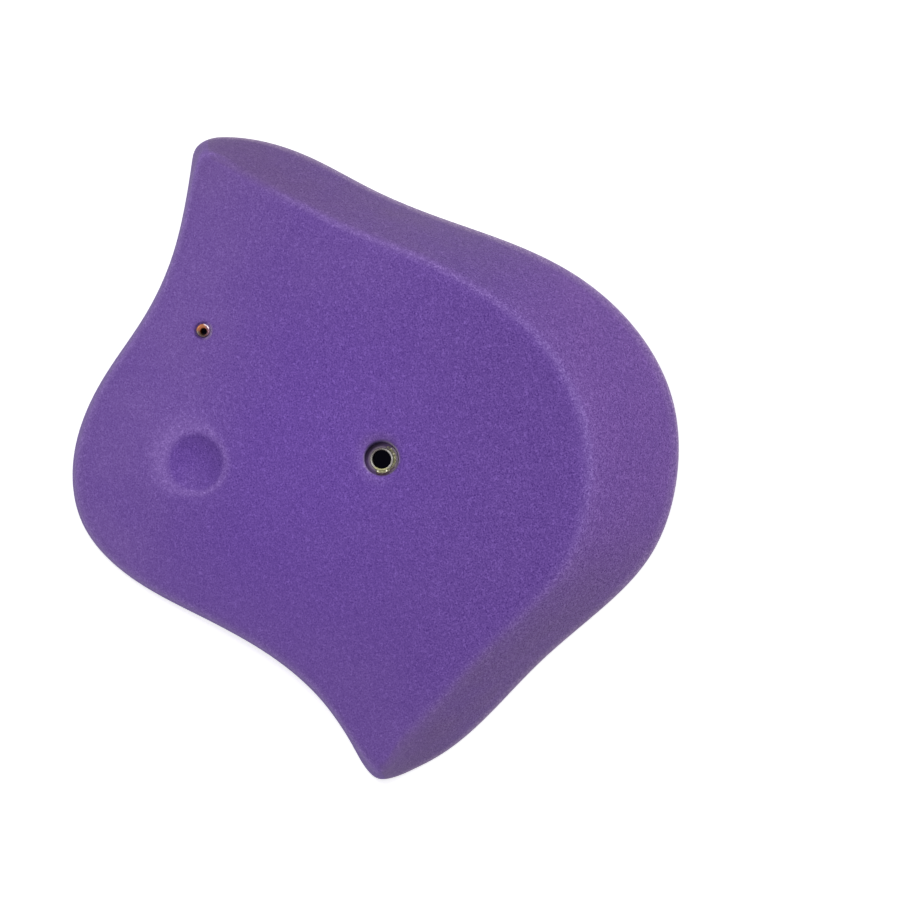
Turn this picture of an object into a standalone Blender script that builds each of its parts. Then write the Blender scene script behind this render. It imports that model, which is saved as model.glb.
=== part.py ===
"""Climbing hold: a large cast sloper that hangs on one bolt and one set screw.

Units are metres. +Z points out of the wall and +Y up it. The hold is shaped about the axis of its
bolt boss, then an empty carries that axis to its place, so that the origin lies on the wall plane
in the middle of the footprint.
"""
import math

import bmesh
import bpy
import numpy as np

# Footprint on the wall: the stations below are stretched to this length and height
HOLD_LENGTH = 0.3984
HOLD_HEIGHT = 0.3614

# Stations round the hold, anticlockwise from the right tip, measured from the boss axis: the foot
# of the side at the wall (x, y), the corner where the side meets the face (x, y), and how far the
# rounding of that corner reaches.
STATIONS = (
    (0.1866, -0.0460, 0.1765, -0.0465, 0.011),
    (0.1852, -0.0330, 0.1665, -0.0355, 0.012),
    (0.1815, -0.0160, 0.1560, -0.0210, 0.012),
    (0.1672, 0.0170, 0.1390, 0.0045, 0.010),
    (0.1440, 0.0570, 0.1155, 0.0435, 0.009),
    (0.1250, 0.0970, 0.0940, 0.0800, 0.009),
    (0.1000, 0.1385, 0.0650, 0.1030, 0.009),
    (0.0600, 0.1660, 0.0380, 0.1140, 0.009),
    (0.0120, 0.1765, 0.0110, 0.1180, 0.009),
    (-0.0370, 0.1650, -0.0160, 0.1150, 0.009),
    (-0.0760, 0.1390, -0.0470, 0.1040, 0.009),
    (-0.1050, 0.1060, -0.0780, 0.0810, 0.009),
    (-0.1290, 0.0720, -0.1050, 0.0540, 0.010),
    (-0.1570, 0.0365, -0.1340, 0.0170, 0.010),
    (-0.1870, 0.0040, -0.1635, -0.0155, 0.011),
    (-0.2040, -0.0225, -0.1840, -0.0350, 0.012),
    (-0.2102, -0.0385, -0.1950, -0.0440, 0.012),
    (-0.2118, -0.0500, -0.2005, -0.0505, 0.011),
    (-0.2085, -0.0585, -0.2005, -0.0545, 0.009),
    (-0.2003, -0.0634, -0.1965, -0.0583, 0.008),
    (-0.1830, -0.0710, -0.1810, -0.0670, 0.007),
    (-0.1500, -0.0890, -0.1480, -0.0855, 0.007),
    (-0.1220, -0.1125, -0.1190, -0.1095, 0.007),
    (-0.0912, -0.1483, -0.0880, -0.1450, 0.007),
    (-0.0503, -0.1785, -0.0480, -0.1745, 0.007),
    (-0.0110, -0.1843, -0.0110, -0.1800, 0.007),
    (0.0258, -0.1672, 0.0237, -0.1638, 0.007),
    (0.0610, -0.1325, 0.0580, -0.1295, 0.007),
    (0.0950, -0.0980, 0.0925, -0.0945, 0.007),
    (0.1290, -0.0752, 0.1275, -0.0710, 0.007),
    (0.1600, -0.0645, 0.1590, -0.0600, 0.007),
    (0.1785, -0.0594, 0.1740, -0.0543, 0.009),
    (0.1845, -0.0550, 0.1770, -0.0520, 0.010),
)

# Height of the face over the wall plane: at the boss axis, and how it changes over one span
FACE_HEIGHT = 0.056
FACE_SPAN = 0.100
FACE_RISE = 0.0155
SIDE_DROP = 0.0036
END_DROP = 0.0013

# Side of the hold: a steep kerb at the wall, then a slightly full slope up to the corner
KERB_HEIGHT = 0.005
KERB_DRAFT = 0.0004
SIDE_FULLNESS = 0.025

# Hollow back
RIM_WIDTH = 0.015
CORNER_WALL = 0.008
SHELL = 0.012
RIB_WIDTH = 0.010
RIB_RECESS = 0.0015
RIB_PAIRS = 3

# Bolt: place of its bore from the boss axis, counterbore, the boss round it and the bore's sleeve
BORE_X = 0.0011
BORE_Y = -0.00025
COUNTERBORE_RADIUS = 0.0101
COUNTERBORE_DEPTH = 0.018
BOLT_BOSS_WALL = 0.016
SLEEVE_BORE_RADIUS = 0.00545
SLEEVE_WALL = 0.00135
WASHER_THICKNESS = 0.0025
METAL_CHAMFER = 0.0004

# Set screw: place from the boss axis, eyelet from its throat outwards, recess and boss
SCREW_X = -0.0997
SCREW_Y = -0.0808
EYELET_THROAT_RADIUS = 0.00205
EYELET_THROAT_DEPTH = 0.005
EYELET_FLARE = 0.0007
EYELET_WALL = 0.00055
EYELET_HEAD_LIP = 0.00085
EYELET_HEAD_HEIGHT = 0.0013
EYELET_LENGTH = 0.014
RECESS_GAP = 0.001
RECESS_DEPTH = 0.0022
SCREW_PLAY = 0.00035
SCREW_BOSS_WALL = 0.010

# Thumb dimple: place from the boss axis and size
DIMPLE_X = -0.0264
DIMPLE_Y = -0.1059
DIMPLE_RADIUS = 0.0170
DIMPLE_DEPTH = 0.0038

# Gap left between pieces that touch in the real hold
CLEARANCE = 0.0003

# Counts that set how finely the shapes are divided
SPOKES_PER_STATION = 4
FINE_PER_STATION = 16
SIDE_STEPS = 4
CORNER_STEPS = 4
FACE_RINGS = 8
CAVITY_SPOKES = 72
CAVITY_RINGS = 5
TURNED_STEPS = 48
HEAD_STEPS = 8
BALL_DIVISIONS = 4

# Margin by which a cutter runs past the surface that it cuts
OVERRUN = 0.010

# Seam of a turned shape, and the angle in degrees over which an edge is shaded sharp
SEAM = 0.00001
SHARP_ANGLE = 30.0


def clear_scene():
    for existing in list(bpy.data.objects):
        bpy.data.objects.remove(existing, do_unlink=True)


def make_collection(name):
    collection = bpy.data.collections.new(name)
    bpy.context.scene.collection.children.link(collection)
    return collection


def make_material(name, colour, roughness, metallic):
    material = bpy.data.materials.new(name)
    material.use_nodes = True
    shader = material.node_tree.nodes["Principled BSDF"]
    shader.inputs["Base Color"].default_value = (*colour, 1.0)
    shader.inputs["Roughness"].default_value = roughness
    shader.inputs["Metallic"].default_value = metallic
    return material


def place(name, mesh, collection, parent, location=(0.0, 0.0, 0.0)):
    piece = bpy.data.objects.new(name, mesh)
    collection.objects.link(piece)
    piece.parent = parent
    piece.location = location
    return piece


def mark_cutter(cutter):
    cutter.hide_render = True
    cutter.display_type = "WIRE"
    return cutter


def cut(piece, cutter):
    modifier = piece.modifiers.new(cutter.name, "BOOLEAN")
    modifier.operation = "DIFFERENCE"
    modifier.solver = "EXACT"
    modifier.object = cutter


def face_height(x, y):
    """Height of the grip face over the wall plane, at a place measured from the boss axis."""
    rise = FACE_RISE * y / FACE_SPAN
    drop = SIDE_DROP * (x / FACE_SPAN) ** 2 + END_DROP * (y / FACE_SPAN) ** 2
    return FACE_HEIGHT + rise - drop


def closed_spline(knots, per_span):
    """Points on the closed cubic spline through the knots, the same number on every span."""
    following = np.roll(knots, -1, axis=0)
    gap = np.linalg.norm((following - knots)[:, :2], axis=1)
    chord = (following - knots) / gap[:, None]
    count = len(knots)
    system = np.zeros((count, count))
    target = np.zeros_like(knots)
    for i in range(count):
        before, after = 1.0 / gap[i - 1], 1.0 / gap[i]
        system[i, i - 1] = before
        system[i, i] = 2.0 * (before + after)
        system[i, (i + 1) % count] = after
        target[i] = 3.0 * (chord[i - 1] * before + chord[i] * after)
    slope = np.linalg.solve(system, target)
    points = []
    for i in range(count):
        for step in range(per_span):
            t = step / per_span
            points.append(
                (2 * t**3 - 3 * t**2 + 1) * knots[i]
                + (t**3 - 2 * t**2 + t) * gap[i] * slope[i]
                + (3 * t**2 - 2 * t**3) * following[i]
                + (t**3 - t**2) * gap[i] * slope[(i + 1) % count]
            )
    return np.array(points)


def stretch():
    """How much the stations grow along X and Y to give the footprint its length and height."""
    foot = closed_spline(np.array(STATIONS), FINE_PER_STATION)[:, 0:2]
    spans = foot.max(axis=0) - foot.min(axis=0)
    return np.array([HOLD_LENGTH, HOLD_HEIGHT]) / spans


def outline(per_station):
    """Foot, corner and reach of the rounding, at the same number of points for every station."""
    knots = np.array(STATIONS)
    knots[:, 0:4] *= np.tile(stretch(), 2)
    fine = closed_spline(knots, per_station)
    return fine[:, 0:2], fine[:, 2:4], fine[:, 4:5]


def screw_place():
    return np.array([SCREW_X, SCREW_Y]) * stretch()


def dimple_place():
    return np.array([DIMPLE_X, DIMPLE_Y]) * stretch()


def raise_to_face(flat):
    return np.column_stack([flat, face_height(flat[:, 0], flat[:, 1])])


def outer_rings(per_station):
    """Rings of the outer surface, from the wall plane up the side and in over the face."""
    foot, corner, reach = outline(per_station)
    corner_point = raise_to_face(corner)
    inward = corner - foot
    inward = inward / np.linalg.norm(inward, axis=1, keepdims=True)
    kerb = np.column_stack([foot + KERB_DRAFT * inward, np.full(len(foot), KERB_HEIGHT)])
    slope = corner_point - kerb
    length = np.linalg.norm(slope, axis=1, keepdims=True)
    slope = slope / length
    outward = np.column_stack([-inward * slope[:, 2:3], np.linalg.norm(slope[:, :2], axis=1)])
    centreward = -corner / np.linalg.norm(corner, axis=1, keepdims=True)
    turn_start = corner_point - reach * slope
    turn_end = raise_to_face(corner + reach * centreward)

    rings = [np.column_stack([foot, np.zeros(len(foot))])]
    for step in range(SIDE_STEPS):
        t = step / SIDE_STEPS
        fullness = 4.0 * SIDE_FULLNESS * t * (1.0 - t) * length
        rings.append(kerb + t * (turn_start - kerb) + fullness * outward)
    for step in range(CORNER_STEPS + 1):
        t = step / CORNER_STEPS
        rings.append((1 - t) ** 2 * turn_start + 2 * t * (1 - t) * corner_point + t**2 * turn_end)
    for ring in range(1, FACE_RINGS):
        rings.append(raise_to_face(turn_end[:, :2] * (1 - ring / FACE_RINGS)))
    return rings


def inset_loop(loop, distance, count):
    """A loop kept a distance inside another one, read along spokes from the boss axis."""
    spokes = []
    for k in range(count):
        angle = 2.0 * math.pi * k / count
        along = loop @ np.array([math.cos(angle), math.sin(angle)])
        across = loop @ np.array([-math.sin(angle), math.cos(angle)])
        near = (np.abs(across) < distance) & (along > 0.0)
        reach = np.min(along[near] - np.sqrt(distance**2 - across[near] ** 2))
        spokes.append((reach * math.cos(angle), reach * math.sin(angle)))
    return np.array(spokes)


def lofted_mesh(name, rings, top):
    """A closed mesh through the rings, flat underneath and closed by one point on top."""
    shape = bmesh.new()
    rows = [[shape.verts.new(point) for point in ring] for ring in rings]
    peak = shape.verts.new(top)
    count = len(rows[0])
    shape.faces.new(reversed(rows[0]))
    for lower, upper in zip(rows, rows[1:]):
        for i in range(count):
            j = (i + 1) % count
            shape.faces.new((lower[i], lower[j], upper[j], upper[i]))
    for i in range(count):
        shape.faces.new((rows[-1][i], rows[-1][(i + 1) % count], peak))
    bmesh.ops.triangulate(shape, faces=shape.faces[:])
    mesh = bpy.data.meshes.new(name)
    shape.to_mesh(mesh)
    shape.free()
    return mesh


def turned(name, profile, collection, parent, location, closed):
    """A profile of (radius, height) points turned round Z. It runs down on its outer side."""
    mesh = bpy.data.meshes.new(name)
    edges = [(i, i + 1) for i in range(len(profile) - 1)]
    if closed:
        edges.append((len(profile) - 1, 0))
    mesh.from_pydata([(radius, 0.0, height) for radius, height in profile], edges, [])
    piece = place(name, mesh, collection, parent, location)
    screw = piece.modifiers.new("Turn", "SCREW")
    screw.axis = "Z"
    screw.angle = 2.0 * math.pi
    screw.steps = screw.render_steps = TURNED_STEPS
    screw.use_merge_vertices = True
    screw.merge_threshold = SEAM
    return piece


def clear_height():
    """A height over every point of the hold, where the cutters end."""
    corner = outline(SPOKES_PER_STATION)[1]
    return float(np.max(raise_to_face(corner)[:, 2])) + OVERRUN


def boss_guide(name, radius, x, y, collection, parent):
    """A tall cylinder where a boss stands in the hollow of the back."""
    top, bottom = clear_height(), -2.0 * OVERRUN
    profile = [(0.0, top), (radius, top), (radius, bottom), (0.0, bottom)]
    return mark_cutter(turned(name, profile, collection, parent, (x, y, 0.0), False))


def rib_guide(index, reach, collection, parent):
    """A long bar through the boss axis, where two opposite ribs stand."""
    shape = bmesh.new()
    bmesh.ops.create_cube(shape, size=1.0)
    height = clear_height()
    bmesh.ops.scale(shape, vec=(2.0 * reach, RIB_WIDTH, height), verts=shape.verts)
    bmesh.ops.translate(shape, vec=(0.0, 0.0, RIB_RECESS + height / 2.0), verts=shape.verts)
    mesh = bpy.data.meshes.new("rib_guide")
    shape.to_mesh(mesh)
    shape.free()
    guide = mark_cutter(place(f"rib_guide_{index + 1}", mesh, collection, parent))
    screw_x, screw_y = screw_place()
    guide.rotation_euler.z = math.atan2(screw_y, screw_x) + math.pi * index / RIB_PAIRS
    return guide


def cavity_cutter(collection, parent):
    """The hollow of the back: the outer shape moved in, less the ribs and the two bosses."""
    foot, corner, _ = outline(FINE_PER_STATION)
    mouth = inset_loop(foot, RIM_WIDTH, CAVITY_SPOKES)
    roof = inset_loop(corner, CORNER_WALL, CAVITY_SPOKES)
    rings = [np.column_stack([mouth, np.full(CAVITY_SPOKES, -OVERRUN)])]
    rings.append(np.column_stack([mouth, np.zeros(CAVITY_SPOKES)]))
    for ring in range(CAVITY_RINGS):
        level = raise_to_face(roof * (1 - ring / CAVITY_RINGS))
        level[:, 2] -= SHELL
        rings.append(level)
    mesh = lofted_mesh("cavity", rings, (0.0, 0.0, FACE_HEIGHT - SHELL))
    cavity = mark_cutter(place("cavity", mesh, collection, parent))
    reach = float(np.max(np.linalg.norm(foot, axis=1)))
    for index in range(RIB_PAIRS):
        cut(cavity, rib_guide(index, reach, collection, parent))
    bolt_boss = COUNTERBORE_RADIUS + BOLT_BOSS_WALL
    screw_boss = recess_radius() + SCREW_BOSS_WALL
    cut(cavity, boss_guide("bolt_boss", bolt_boss, 0.0, 0.0, collection, parent))
    cut(cavity, boss_guide("screw_boss", screw_boss, *screw_place(), collection, parent))
    return cavity


def counterbore_floor():
    return FACE_HEIGHT - COUNTERBORE_DEPTH


def sleeve_radius():
    return SLEEVE_BORE_RADIUS + SLEEVE_WALL


def barrel_radius():
    """Outer radius of the eyelet's barrel."""
    return EYELET_THROAT_RADIUS + EYELET_FLARE + EYELET_WALL


def recess_radius():
    return barrel_radius() + EYELET_HEAD_LIP + RECESS_GAP


def bolt_hole_cutter(collection, parent):
    top, floor = clear_height(), counterbore_floor()
    bore = sleeve_radius() + CLEARANCE
    profile = [(0.0, top), (COUNTERBORE_RADIUS, top), (COUNTERBORE_RADIUS, floor), (bore, floor),
               (bore, -OVERRUN), (0.0, -OVERRUN)]
    return mark_cutter(turned("bolt_hole", profile, collection, parent, (BORE_X, BORE_Y, 0.0), False))


def eyelet_seat():
    """Height of the recess floor under the head of the eyelet."""
    return face_height(*screw_place()) - RECESS_DEPTH


def screw_hole_cutter(collection, parent):
    top, seat = clear_height(), eyelet_seat()
    bore = barrel_radius() + CLEARANCE
    shoulder = seat - EYELET_LENGTH - CLEARANCE
    hole = EYELET_THROAT_RADIUS + SCREW_PLAY
    profile = [(0.0, top), (recess_radius(), top), (recess_radius(), seat), (bore, seat),
               (bore, shoulder), (hole, shoulder), (hole, -OVERRUN), (0.0, -OVERRUN)]
    foot = (*screw_place(), 0.0)
    return mark_cutter(turned("screw_hole", profile, collection, parent, foot, False))


def dimple_cutter(collection, parent):
    """A ball that dips into the face by the depth of the dimple, square to the face there."""
    ball = (DIMPLE_RADIUS**2 + DIMPLE_DEPTH**2) / (2.0 * DIMPLE_DEPTH)
    x, y = dimple_place()
    slope_x = -2.0 * SIDE_DROP * x / FACE_SPAN**2
    slope_y = FACE_RISE / FACE_SPAN - 2.0 * END_DROP * y / FACE_SPAN**2
    normal = np.array([-slope_x, -slope_y, 1.0])
    normal = normal / np.linalg.norm(normal)
    surface = np.array([x, y, face_height(x, y)])
    centre = surface + normal * (ball - DIMPLE_DEPTH)
    shape = bmesh.new()
    bmesh.ops.create_icosphere(shape, subdivisions=BALL_DIVISIONS, radius=ball)
    mesh = bpy.data.meshes.new("dimple")
    shape.to_mesh(mesh)
    shape.free()
    return mark_cutter(place("dimple", mesh, collection, parent, centre))


def make_body(parts, cutters, parent, material):
    rings = outer_rings(SPOKES_PER_STATION)
    mesh = lofted_mesh("hold_body", rings, (0.0, 0.0, FACE_HEIGHT))
    mesh.materials.append(material)
    body = place("hold_body", mesh, parts, parent)
    cut(body, cavity_cutter(cutters, parent))
    cut(body, bolt_hole_cutter(cutters, parent))
    cut(body, screw_hole_cutter(cutters, parent))
    cut(body, dimple_cutter(cutters, parent))
    return body


def make_sleeve(parts, parent, material):
    """The tube through the bolt boss. Its upper end is level with the top of the washer."""
    top = counterbore_floor() + CLEARANCE + WASHER_THICKNESS
    outer, inner = sleeve_radius(), SLEEVE_BORE_RADIUS
    profile = [(outer, top), (outer, 0.0), (inner, 0.0), (inner, top - METAL_CHAMFER),
               (inner + METAL_CHAMFER, top)]
    sleeve = turned("bolt_sleeve", profile, parts, parent, (BORE_X, BORE_Y, 0.0), True)
    sleeve.data.materials.append(material)
    return sleeve


def make_washer(parts, parent, material):
    """The washer on the floor of the counterbore, round the sleeve."""
    outer = COUNTERBORE_RADIUS - CLEARANCE
    inner = sleeve_radius() + CLEARANCE
    high, edge = WASHER_THICKNESS, METAL_CHAMFER
    profile = [(inner, high), (outer - edge, high), (outer, high - edge), (outer, edge),
               (outer - edge, 0.0), (inner, 0.0)]
    seat = (BORE_X, BORE_Y, counterbore_floor() + CLEARANCE)
    washer = turned("bolt_washer", profile, parts, parent, seat, True)
    washer.data.materials.append(material)
    return washer


def make_eyelet(parts, parent, material):
    """The eyelet: a rolled head over the recess floor and a barrel that narrows to a throat."""
    throat, barrel = EYELET_THROAT_RADIUS, barrel_radius()
    mouth, head = throat + EYELET_FLARE, barrel + EYELET_HEAD_LIP
    middle, half_width = (head + mouth) / 2.0, (head - mouth) / 2.0
    profile = []
    for step in range(HEAD_STEPS + 1):
        angle = math.pi * (1.0 - step / HEAD_STEPS)
        profile.append((middle + half_width * math.cos(angle), EYELET_HEAD_HEIGHT * math.sin(angle)))
    profile += [(barrel, 0.0), (barrel, -EYELET_LENGTH), (throat, -EYELET_LENGTH),
                (throat, -EYELET_THROAT_DEPTH)]
    seat = (*screw_place(), eyelet_seat() + CLEARANCE)
    eyelet = turned("set_screw_eyelet", profile, parts, parent, seat, True)
    eyelet.data.materials.append(material)
    return eyelet


def smooth(piece):
    """Turns the modifiers of a finished piece into its mesh and shades it smooth."""
    graph = bpy.context.evaluated_depsgraph_get()
    mesh = bpy.data.meshes.new_from_object(piece.evaluated_get(graph))
    piece.modifiers.clear()
    piece.data = mesh
    mesh.shade_smooth()
    mesh.set_sharp_from_angle(angle=math.radians(SHARP_ANGLE))


def boss_axis_place():
    """Where the boss axis stands when the middle of the footprint is the origin."""
    foot = outline(SPOKES_PER_STATION)[0]
    middle = (foot.min(axis=0) + foot.max(axis=0)) / 2.0
    return (-middle[0], -middle[1], 0.0)


def main():
    clear_scene()
    parts = make_collection("climbing_hold")
    cutters = make_collection("cutters")
    cast = make_material("purple_polyurethane", (0.138, 0.067, 0.323), 0.85, 0.0)
    steel = make_material("bare_steel", (0.48, 0.46, 0.44), 0.35, 1.0)
    zinc = make_material("yellow_zinc", (0.42, 0.43, 0.20), 0.40, 1.0)
    copper = make_material("copper", (0.72, 0.30, 0.14), 0.30, 1.0)
    axis = bpy.data.objects.new("boss_axis", None)
    parts.objects.link(axis)
    axis.location = boss_axis_place()
    pieces = [
        make_body(parts, cutters, axis, cast),
        make_sleeve(parts, axis, steel),
        make_washer(parts, axis, zinc),
        make_eyelet(parts, axis, copper),
    ]
    bpy.context.view_layer.update()
    for piece in pieces:
        smooth(piece)


main()
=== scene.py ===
import math

import bmesh
import bpy
import numpy as np
from mathutils.kdtree import KDTree
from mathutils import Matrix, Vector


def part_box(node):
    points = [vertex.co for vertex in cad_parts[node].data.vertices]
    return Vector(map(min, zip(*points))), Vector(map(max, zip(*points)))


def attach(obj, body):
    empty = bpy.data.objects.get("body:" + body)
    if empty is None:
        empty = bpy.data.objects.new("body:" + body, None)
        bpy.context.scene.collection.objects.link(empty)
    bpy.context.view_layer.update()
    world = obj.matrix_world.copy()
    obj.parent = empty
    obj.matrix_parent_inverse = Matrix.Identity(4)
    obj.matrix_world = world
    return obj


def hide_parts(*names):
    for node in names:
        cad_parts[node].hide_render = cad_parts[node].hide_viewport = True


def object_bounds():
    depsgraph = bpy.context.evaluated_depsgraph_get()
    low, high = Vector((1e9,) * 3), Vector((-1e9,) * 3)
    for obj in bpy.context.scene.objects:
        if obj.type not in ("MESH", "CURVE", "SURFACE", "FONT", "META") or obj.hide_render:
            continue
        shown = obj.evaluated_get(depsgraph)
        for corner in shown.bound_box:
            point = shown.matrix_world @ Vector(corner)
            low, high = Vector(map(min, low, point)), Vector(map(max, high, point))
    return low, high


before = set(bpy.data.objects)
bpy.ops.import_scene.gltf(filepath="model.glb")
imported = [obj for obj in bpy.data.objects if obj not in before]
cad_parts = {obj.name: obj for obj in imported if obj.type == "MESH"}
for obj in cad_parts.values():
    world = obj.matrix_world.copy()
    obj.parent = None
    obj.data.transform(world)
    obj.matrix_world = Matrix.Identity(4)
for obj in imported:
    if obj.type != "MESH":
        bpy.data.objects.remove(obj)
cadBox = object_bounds()

# The bolt axis is the middle of the washer; the hold is shaped about the boss axis beside it
washerLow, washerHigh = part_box("bolt_washer")
boltX, boltY = (washerLow.x + washerHigh.x) / 2, (washerLow.y + washerHigh.y) / 2
boreX, boreY = 0.0011, -0.00025  # from the boss axis to the bolt axis
bossX, bossY = boltX - boreX, boltY - boreY


# Small helpers for objects and node trees
def addObject(name, data):
    made = bpy.data.objects.new(name, data)
    bpy.context.scene.collection.objects.link(made)
    return made


def paint(mesh, *materials):
    mesh.materials.clear()
    for material in materials:
        mesh.materials.append(material)


def feed(tree, node, inputs):
    # Links an input that gets a socket, and sets one that gets a plain value
    for name, value in inputs.items():
        if isinstance(value, bpy.types.NodeSocket):
            tree.links.new(value, node.inputs[name])
        else:
            node.inputs[name].default_value = value
    return node


def addNode(tree, kind, inputs=None, output=0, **settings):
    # Gives one output of the new node, or all of them
    node = tree.nodes.new(kind)
    for name, value in settings.items():
        setattr(node, name, value)
    outputs = feed(tree, node, inputs or {}).outputs
    return outputs if output is None else outputs[output]


def mathOf(tree, operation, first, second=0.0, clamp=False):
    return addNode(tree, "ShaderNodeMath", {0: first, 1: second}, operation=operation, use_clamp=clamp)


def times(tree, first, second, clamp=False):
    return mathOf(tree, "MULTIPLY", first, second, clamp)


def plusShare(tree, first, second, share):
    return mathOf(tree, "ADD", first, times(tree, second, share))


def rgb(colour, share=1.0):
    return (colour[0] * share, colour[1] * share, colour[2] * share, 1.0)


def mixOf(tree, factor, first, second, blend="MIX"):
    # 0 is the factor, 6 and 7 are the two colours, each a socket or plain red, green and blue
    colours = {place: rgb(colour) if isinstance(colour, tuple) else colour
               for place, colour in ((6, first), (7, second))}
    return addNode(tree, "ShaderNodeMix", {0: factor, **colours}, 2, data_type="RGBA", blend_type=blend)


def noiseOf(tree, where, size, detail, roughness):
    return addNode(tree, "ShaderNodeTexNoise", {
        "Vector": where, "Scale": 1.0 / size, "Detail": detail, "Roughness": roughness}, "Fac")


def rangeOf(tree, value, low, high, toLow=0.0, toHigh=1.0):
    return addNode(tree, "ShaderNodeMapRange", {
        "Value": value, "From Min": low, "From Max": high, "To Min": toLow, "To Max": toHigh})


def distanceOf(tree, where, place):
    return addNode(tree, "ShaderNodeVectorMath", {0: where, 1: place}, "Value", operation="DISTANCE")


def startMaterial(name):
    material = bpy.data.materials.new(name)
    material.use_nodes = True
    tree = material.node_tree
    return material, tree, addNode(tree, "ShaderNodeTexCoord", output="Object")


def endMaterial(material, inputs, *bump):
    # What its shader gets; the bump is a height, a strength and a distance in metres
    tree = material.node_tree
    if bump:
        relief = addNode(tree, "ShaderNodeBump", dict(zip(("Height", "Strength", "Distance"), bump)))
        inputs = {**inputs, "Normal": relief}
    feed(tree, tree.nodes["Principled BSDF"], inputs)
    return material


# Camera: straight down over the hold, at the angle of the photograph
cameraValues = {
    "right": 0.006565,  # from the boss axis, along the hold's X
    "up": 0.039673,  # from the boss axis, along the hold's Y
    "height": 1.6,
    "lens": 106.67,
    "turn": 74.4,  # degrees about the vertical
}


def makeCamera(values):
    camera = addObject("camera", bpy.data.cameras.new("camera"))
    camera.data.lens = values["lens"]
    camera.location = (bossX + values["right"], bossY + values["up"], values["height"])
    camera.rotation_euler = (0, 0, math.radians(values["turn"]))
    bpy.context.scene.camera = camera
    print("camera ready")


# Studio: a pale floor, a bright room and two soft lamps
studioValues = {
    "floorSize": 14.0,
    "floorColour": (0.86, 0.86, 0.87),
    "floorGlow": 0.55,  # added for the camera alone, so that the floor reads white
    "shadedFloorRadius": 0.133,  # painted shade: the floor is dark this near the boss axis, under the hold, so the bores look black
    "shadedFloorGlow": (0.0022, 0.0022, 0.0043),
    "roomColour": (1.0, 1.0, 1.0),
    "roomStrength": 0.54,
    "lamps": {
        # name: (to the right in the picture, up in the picture, height), size, watts
        "nearLamp": ((-0.10, 0.11, 0.78), 0.16, 1.75),
        "sideLamp": ((1.20, 0.70, 1.10), 0.7, 6.0),
    },
}


def seenRay(tree):
    # The camera, and what metal mirrors or glass passes
    path = addNode(tree, "ShaderNodeLightPath", output=None)
    seen = mathOf(tree, "ADD", path["Is Camera Ray"], path["Is Glossy Ray"])
    return mathOf(tree, "ADD", seen, path["Is Transmission Ray"], clamp=True)


def makeFloor(values):
    half = values["floorSize"] / 2
    mesh = bpy.data.meshes.new("floor")
    corners = [(-half, -half, 0), (half, -half, 0), (half, half, 0), (-half, half, 0)]
    mesh.from_pydata(corners, [], [(0, 1, 2, 3)])
    material, tree, where = startMaterial("paleFloor")
    # Painted shade: a black floor with a faint dark glow near the boss axis, under the hold
    outside = mathOf(tree, "GREATER_THAN", distanceOf(tree, where, (bossX, bossY, 0)), values["shadedFloorRadius"])
    glow = times(tree, seenRay(tree), values["floorGlow"])
    paint(mesh, endMaterial(material, {
        "Base Color": mixOf(tree, outside, (0, 0, 0), values["floorColour"]),
        "Roughness": 1.0,
        "Specular IOR Level": 0.0,
        "Emission Color": mixOf(tree, outside, values["shadedFloorGlow"], (1, 1, 1)),
        "Emission Strength": mixOf(tree, outside, seenRay(tree), glow),
    }))
    addObject("floor", mesh)


def makeRoom(values):
    world = bpy.data.worlds.new("room")
    world.use_nodes = True
    tree = world.node_tree
    strength = rangeOf(tree, seenRay(tree), 0.0, 1.0, values["roomStrength"], 1.0)
    feed(tree, tree.nodes["Background"], {"Color": rgb(values["roomColour"]), "Strength": strength})
    bpy.context.scene.world = world


def turned(x, y, angle):
    return x * math.cos(angle) - y * math.sin(angle), x * math.sin(angle) + y * math.cos(angle)


def fromPicture(right, up):
    # From right and up in the picture to the hold's X and Y
    return turned(right, up, math.radians(cameraValues["turn"]))


def inPicture(x, y):
    return turned(x, y, -math.radians(cameraValues["turn"]))


def makeLamp(name, place, size, watts):
    data = bpy.data.lights.new(name, "AREA")
    data.shape, data.size, data.energy = "DISK", size, watts
    lamp = addObject(name, data)
    right, up, height = place
    lamp.location = (*fromPicture(right, up), height)
    lamp.visible_camera = False
    lamp.rotation_mode = "QUATERNION"
    lamp.rotation_quaternion = lamp.location.to_track_quat("Z", "Y")


def makeStudio(values):
    makeFloor(values)
    makeRoom(values)
    for name, (place, size, watts) in values["lamps"].items():
        makeLamp(name, place, size, watts)
    bpy.context.scene.view_settings.view_transform = "Standard"
    print("floor, room and lamps ready")


makeCamera(cameraValues)
makeStudio(studioValues)


# How shapes and wear fade
def smoothStep(value, low, high):
    t = np.clip((value - low) / (high - low), 0, 1)
    return t * t * (3 - 2 * t)


def bell(distance, width):
    return np.exp(-((distance / width) ** 2))


def between(pair, share):
    return pair[0] + (pair[1] - pair[0]) * share


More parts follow.
